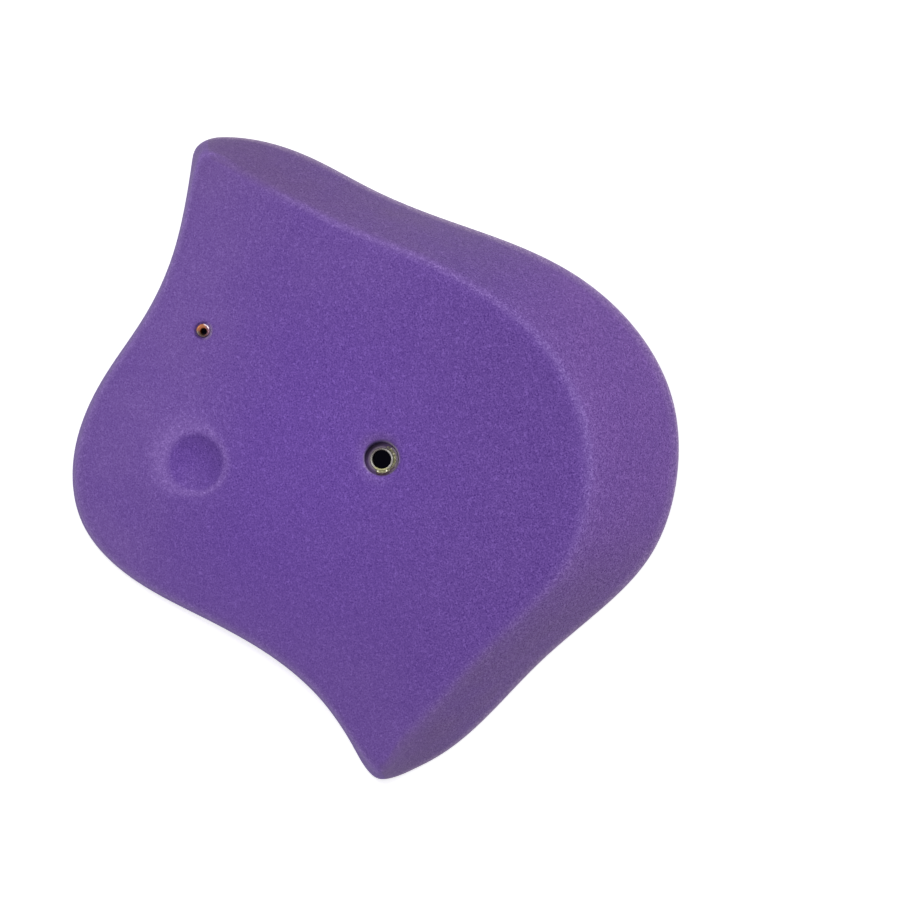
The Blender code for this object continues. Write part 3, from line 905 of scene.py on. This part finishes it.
def markWear(mesh, crestLine):
    values = wearValues
    points = positions(mesh)
    x, y, z = points.T
    picture = right, up = inPicture(x, y)
    below = planeHeight(x, y) - z
    onTop = below < values["onTop"]
    bolt, dimple, screw = (inPicture(x - middleX, y - middleY) for middleX, middleY in (
        (boreX, boreY), (dimpleX, dimpleY), (screwX, screwY)))
    radius, fromScrew = np.hypot(*bolt), np.hypot(*screw)
    fromDimple = np.hypot(*dimple) - hollowValues["dimpleRadius"]

    def arcOf(amount, reach, width, side, spread):
        return bell(radius - reach, width) * facing(bolt, side, spread) * amount * onTop

    # The crest: a thin pale line that fades out down the slope, and fades near the tips
    fromCrest = distanceTo(points, crestLine)
    fade = 1 - smoothStep(np.abs(x), *values["tipFade"]) * smoothStep(y, -0.06, -0.02)
    tail = np.exp(-fromCrest / values["crestTail"]) * values["tailAmount"] * smoothStep(below, 0.0, 0.004)
    tail *= 0.30 + 0.70 * smoothStep(right, 0.04, 0.13)
    high = smoothStep(up, -0.05, 0.05)
    wornAndLit = bell(fromCrest, between(values["crestWidth"], high)) * between(values["crestAmount"], high)
    wornAndLit = (wornAndLit + tail) * fade
    lean = 1 - positions(mesh, "normal")[:, 2]
    lowCrest = smoothStep(lean, 0.10, 0.32) * smoothStep(-y, 0.045, 0.055) * bell(fromCrest, 0.010)
    wornAndLit += lowCrest * values["lowCrest"]

    # The rim of the dimple, wide on one side, its glow, painted light on its floor, and one side of the
    # counterbore's rim
    wide = facing(dimple, values["wideSide"], (-0.35, 0.6))
    rim = bell(fromDimple - between(values["dimpleOffset"], wide), between(values["dimpleWidth"], wide))
    rim *= smoothStep(fromDimple, -0.0022, 0.0)
    rim *= 1 - facing(dimple, values["quietSide"], (0.75, 1.0)) * values["quietAmount"]
    glow = spotOf(dimple, *values["glow"]) * smoothStep(fromDimple, 0.0, 0.002)
    wornAndLit += (rim * values["dimpleAmount"] + glow) * onTop + arcOf(*values["rim"])
    setAttribute(mesh, "wornAndLit", wornAndLit + spotOf(dimple, *values["dimpleLitFloor"]))

    # Hands rub the lower left paler, but not the inside of the dimple
    pale = smoothStep(0.36 * up - 0.93 * right, *values["paleFrom"]) * values["paleAmount"]
    low = smoothStep(-0.45 * right - 0.90 * up, *values["lowFrom"])
    tip = spotOf(picture, *values["tip"])
    pale = np.maximum(pale + low * values["lowPale"] + tip * values["tipPale"],
                      spotOf(picture, *values["paleSpot"]))
    pale *= 1 - smoothStep(-fromDimple, -0.001, 0.003)
    setAttribute(mesh, "pale", pale)
    setAttribute(mesh, "rich", spotOf(picture, *values["rich"]))

    # The slope above the crest is redder on the right, and shoes scuff it grey near the tips; the arc above
    # the counterbore gets painted grey shade
    tilt = smoothStep(lean, 0.06, 0.25) * (y > -0.05)
    setAttribute(mesh, "flushed", tilt * smoothStep(right, *values["flushFrom"]) * values["flushAmount"])
    scuffedAndShaded = tilt * (0.15 + 0.85 * smoothStep(np.abs(x), 0.055, 0.14)) * values["scuffAmount"]
    dullArc = arcOf(*values["dullArc"])
    scuffedAndShaded += low * values["lowScuff"] + dullArc * values["dullArcGrey"] + tip * values["tipScuff"]
    setAttribute(mesh, "scuffedAndShaded", scuffedAndShaded)

    grit = values["grit"] + values["paleGrit"] * pale + values["rightGrit"] * smoothStep(right, -0.06, 0.12)
    grit += values["lowGrit"] * smoothStep(-up, 0.02, 0.10) * (1 - smoothStep(right, 0.0, 0.06))
    setAttribute(mesh, "grit", grit + values["slopeGrit"] * tilt * smoothStep(right, 0.04, 0.12))

    # Painted shade in the dimple, on the shaded side of the counterbore's wall, in the recess of the set
    # screw, on an arc above the counterbore and in a few darker patches
    dark = facing(bolt, values["wallShadeSide"], (0.35, 1.0))
    wall = (radius < hollowValues["counterbore"] + 0.0026) * smoothStep(below, 0.0008, 0.0034)
    recess = (fromScrew < hollowValues["recess"] + 0.0008) * smoothStep(below, 0.0002, 0.0010)
    away = -facing(screw, values["recessSide"])
    paintedShade = wall * dark * values["wallShadeAmount"] + recess * smoothStep(away, -0.5, 0.9) * values["recessShade"]
    reach, width = values["shadeReach"]
    paintedShade += bell(fromScrew - reach, width) * smoothStep(away, 0.3, 1.0) * values["screwShade"]
    paintedShade += sum(spotOf(picture, *spot) for spot in values["dusks"])
    shade = smoothStep(-fromDimple, 0.0, 0.0016) * bell(np.maximum(-fromDimple - 0.003, 0), 0.004)
    shade *= facing(dimple, values["shadeSide"], (-0.1, 0.8)) * values["dimpleShade"]
    setAttribute(mesh, "paintedShade", paintedShade + shade + dullArc * values["dullArcShade"])

    # Painted light on the lit side of them and on the counterbore's rim, and dust with painted sheen along
    # the outline
    litWall = 0.16 + 0.84 * facing(bolt, values["litWallSide"], (-0.3, 0.8))
    dustAndLight = wall * (1 - dark) * litWall * values["litWallAmount"]
    dustAndLight += recess * smoothStep(-away, 0.0, 0.9) * values["recessLight"]
    dustAndLight += sum(arcOf(*arc) for arc in values["litArcs"])
    outline = np.pad(holdOutline(values["edgeSteps"])[0], ((0, 0), (0, 1)))
    edge = 1 - smoothStep(distanceTo(points * (1, 1, 0), outline), *values["edgeReach"])
    edge *= between(values["edgeSheenAndDust"], 0.5 + facing(picture, values["edgeSide"]) / 2)
    edge *= smoothStep(z, *values["edgeRise"]) * (1 - smoothStep(z, *values["edgeFall"]))
    edge *= between((values["edgeLow"], 1.0), smoothStep(y, -0.060, -0.045))
    setAttribute(mesh, "dustAndLight", dustAndLight + edge)


def screwCutter():
    values = hollowValues
    top, low, step = 0.09, -0.01, 0.0005
    seat = planeHeight(screwX, screwY) - values["recessDepth"]
    bottom = seat - values["barrelDepth"]
    recess, barrel, hole = values["recess"], values["barrelHole"], values["screwHole"]
    return lathe("screwCutter", [
        (0, top), (recess, top), (recess, seat + step), (recess - step, seat), (barrel, seat),
        (barrel, bottom), (hole, bottom), (hole, low), (0, low)], screwX, screwY)


def placeOnWall(mesh):
    # From the boss axis to the hold's own place, never past the CAD model's box
    points = positions(mesh) + (bossX, bossY, 0)
    points = np.clip(points, np.array(cadBox[0]), np.array(cadBox[1]))
    mesh.vertices.foreach_set("co", points.ravel())
    mesh.update()


def finishMesh(mesh):
    mesh.shade_smooth()
    mesh.set_sharp_from_angle(angle=math.radians(35))


def buildHold():
    cast, back = castMaterial(castValues), backMaterial(backSkinValues)
    mesh, crestLine, bottomStart = buildSkin()
    paint(mesh, cast, back)
    slots = np.zeros(len(mesh.polygons), dtype=np.int32)
    slots[bottomStart:] = 1  # the flat rim at the wall
    mesh.polygons.foreach_set("material_index", slots)
    refineAround(mesh, screwX, screwY, 0.012, 3)
    refineAround(mesh, dimpleX, dimpleY, 0.026, 1)
    markOpenSurface(mesh)
    hold = addObject("castHold", mesh)
    slots = np.zeros(len(mesh.polygons), dtype=np.int32)
    mesh.polygons.foreach_get("material_index", slots)
    applyTree(hold, waveTree(), waveValues, cast)
    paint(hold.data, cast, back)
    hold.data.polygons.foreach_set("material_index", slots)
    print("outer skin shaped:", len(hold.data.polygons), "faces")

    cavity = buildCavity(back)
    screw = screwCutter()
    paint(screw.data, cast)
    cutWith(hold, cavity)
    cutWith(hold, screw)
    bake(hold)
    drop(cavity, screw)
    markWear(hold.data, crestLine)
    placeOnWall(hold.data)
    finishMesh(hold.data)
    triangles = sum(len(face.vertices) - 2 for face in hold.data.polygons)
    print("cast hold ready:", triangles, "triangles, materials", [slot.name for slot in hold.material_slots])
    return hold


# Metal: turned pieces, made by carrying a rounded profile round a circle
turnedValues = {
    "Ring Radius": 0.01,  # each piece has its own radius and rounding
    "Edge Rounding": 0.0002,
    "Steps": 128,
    "Rounding Steps": 4,
}


def turnedTree():
    tree, given = newTree("turnedPiece", turnedValues)
    outline = addNode(tree, "GeometryNodeMeshToCurve", {0: given["Geometry"]})
    rounded = addNode(tree, "GeometryNodeFilletCurve", {
        0: outline, "Count": given["Rounding Steps"], "Radius": given["Edge Rounding"],
        "Limit Radius": True}, mode="POLY")
    circle = addNode(tree, "GeometryNodeCurvePrimitiveCircle", {
        "Resolution": given["Steps"], "Radius": given["Ring Radius"]})
    upright = addNode(tree, "GeometryNodeSetCurveNormal", {0: circle}, mode="Z_UP")
    return endTree(tree, given, addNode(tree, "GeometryNodeCurveToMesh", {0: upright, 1: rounded}))


def turnPiece(name, profile, centre, rounding, material, tree, node):
    # The profile is (radius, height) points, in order round the section
    ringRadius = sum(radius for radius, _ in profile) / len(profile)
    mesh = bpy.data.meshes.new(name)
    corners = [(radius - ringRadius, -height, 0) for radius, height in profile]
    mesh.from_pydata(corners, [(i, (i + 1) % len(corners)) for i in range(len(corners))], [])
    own = {**turnedValues, "Ring Radius": ringRadius, "Edge Rounding": rounding}
    piece = applyTree(addObject(name, mesh), tree, own, material)
    shape = bmesh.new()
    shape.from_mesh(piece.data)
    bmesh.ops.remove_doubles(shape, verts=shape.verts, dist=1e-6)
    bmesh.ops.translate(shape, verts=shape.verts, vec=(*centre, 0))
    bmesh.ops.recalc_face_normals(shape, faces=shape.faces)
    shape.to_mesh(piece.data)
    shape.free()
    finishMesh(piece.data)
    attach(piece, "root")
    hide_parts(node)
    points = np.round(positions(piece.data), 5)
    print(name, "ready:", len(piece.data.polygons), "faces, from", points.min(0), "to", points.max(0))
    return piece


def turnRing(tree, name, node, inner, values, material):
    # A ring round the bolt that fills the CAD piece's box outside its inner radius
    low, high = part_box(node)
    outer = (high.x - low.x) / 2
    profile = [(inner, low.z), (outer, low.z), (outer, high.z), (inner, high.z)]
    turnPiece(name, profile, (boltX, boltY), values["rounding"], material(values), tree, node)


# Fine turning marks round an axis, which is handed on as X and Y from it and the radius
def turningMarks(tree, where, centre, spacing):
    moved = addNode(tree, "ShaderNodeVectorMath", {0: where, 1: (*centre, 0)}, operation="SUBTRACT")
    x, y, z = addNode(tree, "ShaderNodeSeparateXYZ", {0: moved}, None)
    radius = mathOf(tree, "SQRT", mathOf(tree, "ADD", times(tree, x, x), times(tree, y, y)))
    spread = addNode(tree, "ShaderNodeCombineXYZ", {0: radius, 1: z})
    return noiseOf(tree, spread, spacing, 3.0, 0.6), (x, y, radius)


def sideOf(tree, axis, side, spread=None):
    # 1 on the named side of the axis and -1 on the far side, or the range of that
    x, y, radius = axis
    along = mathOf(tree, "ADD", times(tree, x, side[0]), times(tree, y, side[1]))
    share = mathOf(tree, "DIVIDE", along, mathOf(tree, "MAXIMUM", radius, 1e-4))
    return share if spread is None else rangeOf(tree, share, *spread)


def sideColours(tree, axis, colour, sides):
    # Each has a colour, a side, where on that side it starts and is full, and the radii for the same
    for wornAndLit, side, spread, reach in sides:
        amount = times(tree, sideOf(tree, axis, side, spread), rangeOf(tree, axis[2], *reach))
        colour = mixOf(tree, amount, colour, wornAndLit)
    return colour


sleeveValues = {
    "colour": (0.220, 0.213, 0.197),
    "stain": (0.14, 0.12, 0.105),
    # painted shade on the shaded side of the ring
    "shadowTint": (0.050, 0.040, 0.040),
    "shadowSide": (-0.969, -0.249),
    "zinc": (0.245, 0.24, 0.122),
    "zincSide": (0.953, -0.302),
    "marks": 0.00035,
    "stains": 0.0022,
    "wall": 0.00135,
    "rounding": 0.00018,
}


def steelMaterial(values):
    material, tree, where = startMaterial("wornSteel")
    marks, axis = turningMarks(tree, where, (boltX, boltY), values["marks"])
    stains = noiseOf(tree, where, values["stains"], 3.0, 0.65)
    colour = mixOf(tree, rangeOf(tree, stains, 0.54, 0.72, 0.0, 0.7), values["colour"], values["stain"])
    # painted shade on one side
    shadowed = sideOf(tree, axis, values["shadowSide"], (0.30, 0.95, 0.0, 0.88))
    colour = mixOf(tree, shadowed, colour, values["shadowTint"])
    overrun = plusShare(tree, sideOf(tree, axis, values["zincSide"]), stains, 0.4)
    return endMaterial(material, {
        "Base Color": mixOf(tree, rangeOf(tree, overrun, 0.86, 1.10), colour, values["zinc"]),
        "Metallic": 0.9,
        "Roughness": rangeOf(tree, marks, 0.3, 0.7, 0.32, 0.52),
    }, marks, 0.35, 0.00008)


washerValues = {
    "colour": (0.150, 0.152, 0.070),
    # painted sparkle highlights in the zinc
    "paintedSparkle": (0.85, 0.83, 0.60),
    "dull": (0.095, 0.083, 0.063),
    "litZinc": (0.27, 0.265, 0.145),  # painted light: the zinc on its lit side
    "litZincSide": (0.898, -0.440),
    "resin": (0.145, 0.083, 0.225),  # cast material that ran over one side of it
    "resinSide": (-0.664, -0.748),
    "dusty": (0.34, 0.27, 0.34),
    "dustReach": (0.0070, 0.0084),
    # painted shade on the resin's shaded side
    "shadowTint": (0.030, 0.016, 0.036),
    "shadowSide": (-0.969, -0.249),
    "shadedAndLitRims": [  # painted shade and painted light: cast material round its edge, shaded on one side and lit on the other
        ((0.060, 0.032, 0.055), (0.9632, -0.2689), (0.1, 0.6), (0.0073, 0.0084)),
        ((0.145, 0.115, 0.160), (0.0010, 1.0), (0.0, 0.5), (0.0082, 0.0090)),
    ],
    "glint": (1.0, 0.97, 0.80),
    "glints": [(0.00587, -0.00390, 0.0006), (0.00699, 0.00090, 0.0007)],  # painted highlights: x, y, reach
    "marks": 0.0006,
    "blotches": 0.0024,
    "rough": 0.0010,
    "gap": 0.00004,
    "rounding": 0.00012,
}


def zincMaterial(values):
    material, tree, where = startMaterial("yellowZinc")
    _, axis = turningMarks(tree, where, (boltX, boltY), values["marks"])
    blotches = noiseOf(tree, where, values["blotches"], 3.0, 0.6)
    rough = noiseOf(tree, where, values["rough"], 3.0, 0.65)
    colour = mixOf(tree, rangeOf(tree, blotches, 0.35, 0.65), values["dull"], values["colour"])
    colour = mixOf(tree, sideOf(tree, axis, values["litZincSide"], (0.70, 0.95)), colour, values["litZinc"])
    # painted sparkle highlights
    colour = mixOf(tree, rangeOf(tree, rough, 0.56, 0.68, 0.0, 0.45), colour, values["paintedSparkle"])
    colour = sideColours(tree, axis, colour, values["shadedAndLitRims"])
    # painted highlights
    for x, y, reach in values["glints"]:
        away = distanceOf(tree, where, (boltX + x, boltY + y, washerHigh.z))
        colour = mixOf(tree, rangeOf(tree, away, reach, reach * 0.4), colour, values["glint"])
    outer = rangeOf(tree, axis[2], *values["dustReach"])
    resin = mixOf(tree, outer, values["dusty"], values["resin"])
    # painted shade on one side of the resin
    shadowed = sideOf(tree, axis, values["shadowSide"], (0.35, 1.0, 0.0, 0.85))
    resin = mixOf(tree, times(tree, shadowed, outer), resin, values["shadowTint"])
    overrun = plusShare(tree, sideOf(tree, axis, values["resinSide"]), blotches, 1.3)
    covered = rangeOf(tree, overrun, 0.50, 0.68)
    return endMaterial(material, {
        "Base Color": mixOf(tree, covered, colour, resin),
        "Metallic": rangeOf(tree, covered, 0.0, 1.0, 0.9, 0.0),
        "Roughness": plusShare(tree, rangeOf(tree, rough, 0.3, 0.7, 0.55, 0.30), covered, 0.4),
    }, mathOf(tree, "ADD", rough, covered), 0.6, 0.0006)


# The set screw's eyelet: a rolled head that curves down into its throat
eyeletValues = {
    "throat": 0.00200,
    "throatDepth": 0.0015,
    "lip": 0.0034,
    "headHeight": 0.0013,
    "headSteps": 10,
    "funnelSteps": 8,
    "funnelCurve": 1.3,
    "barrel": 0.0033,
    "lean": (0.00046, 0.0),  # how far its throat lies off its head's middle
    "rounding": 0.0002,
    "colour": (0.49, 0.175, 0.072),
    "dark": (0.30, 0.12, 0.07),
    "stains": 0.0016,
    "sides": [
        ((0.33, 0.19, 0.27), (0.352, 0.936), (0.25, 0.80), (0.0019, 0.0025)),  # painted reflection of the purple cast
        ((0.15, 0.125, 0.10), (0.627, -0.779), (0.35, 0.80), (0.0019, 0.0025)),  # olive
        ((0.075, 0.045, 0.060), (0.963, -0.269), (0.25, 0.85), (0.0029, 0.0035)),  # painted shade
        ((0.10, 0.035, 0.06), (-0.700, -0.714), (-0.30, 0.40), (0.0038, 0.0044)),  # painted shade at the dark edge
        ((1.0, 0.86, 0.91), (-0.593, 0.805), (0.80, 0.93), (0.0030, 0.0036)),  # painted highlight
    ],
}


def copperMaterial(values, centre):
    material, tree, where = startMaterial("wornCopper")
    marks, axis = turningMarks(tree, where, centre, 0.0003)
    stains = noiseOf(tree, where, values["stains"], 3.0, 0.6)
    colour = mixOf(tree, rangeOf(tree, stains, 0.54, 0.74, 0.0, 0.6), values["colour"], values["dark"])
    return endMaterial(material, {
        "Base Color": sideColours(tree, axis, colour, values["sides"]),
        "Metallic": 0.6,
        "Roughness": rangeOf(tree, marks, 0.3, 0.7, 0.25, 0.45),
    }, stains, 0.3, 0.0002)


def buildEyelet(tree):
    values = eyeletValues
    low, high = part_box("set_screw_eyelet")
    centre = ((low.x + high.x) / 2, (low.y + high.y) / 2)
    head, lip, throat = (high.x - low.x) / 2, values["lip"], values["throat"]
    seat = high.z - values["headHeight"]
    profile = []
    for step in range(values["headSteps"] + 1):
        angle = math.pi / 2 * (1 - step / values["headSteps"])
        profile.append((lip + (head - lip) * math.cos(angle), seat + values["headHeight"] * math.sin(angle)))
    profile += [(values["barrel"], seat), (values["barrel"], low.z), (throat, low.z)]
    for step in range(values["funnelSteps"]):
        share = step / values["funnelSteps"]
        radius = throat + (lip - throat) * share ** values["funnelCurve"]
        profile.append((radius, high.z - values["throatDepth"] * (1 - share)))
    material = copperMaterial(values, centre)
    eyelet = turnPiece("screwEyelet", profile, centre, values["rounding"], material, tree,
                       "set_screw_eyelet")
    points = positions(eyelet.data)
    radius = np.hypot(points[:, 0] - centre[0], points[:, 1] - centre[1])
    share = np.clip((lip - radius) / (lip - throat), 0, 1)
    share *= smoothStep(points[:, 2], low.z + 0.002, low.z + 0.008)
    points[:, :2] += share[:, None] * np.array(values["lean"])
    eyelet.data.vertices.foreach_set("co", points.ravel())
    eyelet.data.update()


hold = buildHold()
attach(hold, "root")
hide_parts("hold_body")
turning = turnedTree()
sleeveLow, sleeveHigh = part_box("bolt_sleeve")
sleeveRadius = (sleeveHigh.x - sleeveLow.x) / 2
turnRing(turning, "boltSleeve", "bolt_sleeve", sleeveRadius - sleeveValues["wall"], sleeveValues,
         steelMaterial)
turnRing(turning, "boltWasher", "bolt_washer", sleeveRadius + washerValues["gap"], washerValues,
         zincMaterial)
buildEyelet(turning)
